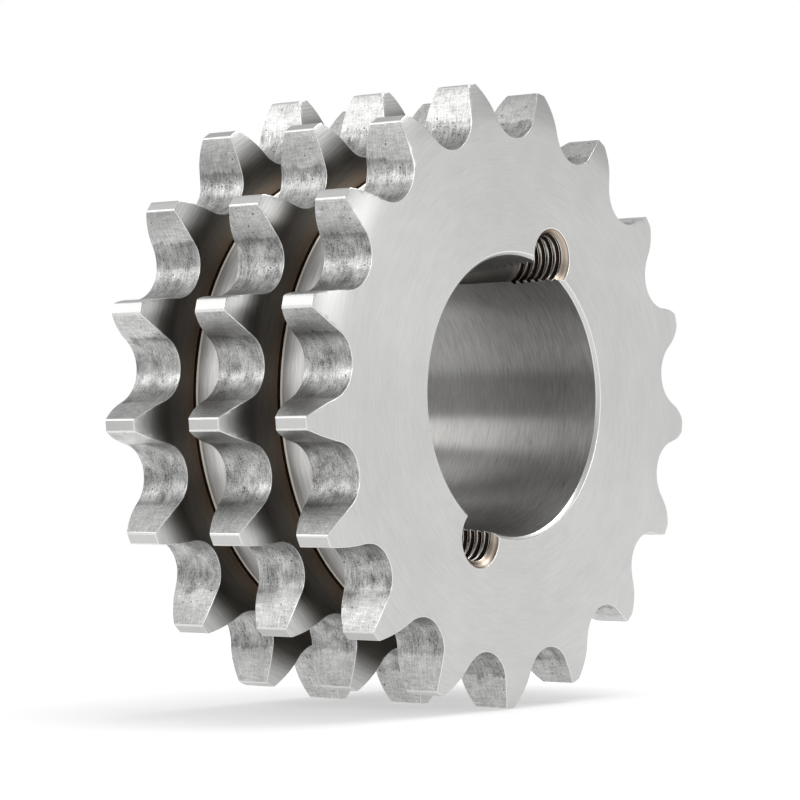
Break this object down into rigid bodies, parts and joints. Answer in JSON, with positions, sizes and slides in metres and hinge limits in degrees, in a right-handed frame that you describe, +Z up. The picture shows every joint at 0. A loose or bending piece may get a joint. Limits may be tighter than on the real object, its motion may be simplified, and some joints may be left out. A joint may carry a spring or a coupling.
{
  "type": "chain sprocket",
  "caption": "Multi-row roller chain sprocket in machined steel, with a tapered bore, tapped half holes for the bush screws and turned grooves between the rows of teeth.",
  "frame": {"origin": "centre of the front face, on the bore axis", "axes": "+Y along the bore from the front face to the rear face, +Z up with one tooth of each row straight down, +X to the right seen from the front"},
  "size_m": [0.1108, 0.0494, 0.1102],
  "materials": {
    "machined_steel": "turned and hobbed, bare"
  },
  "bodies": {
    "root": {"sprocket": "machined_steel"}
  },
  "joints": []
}
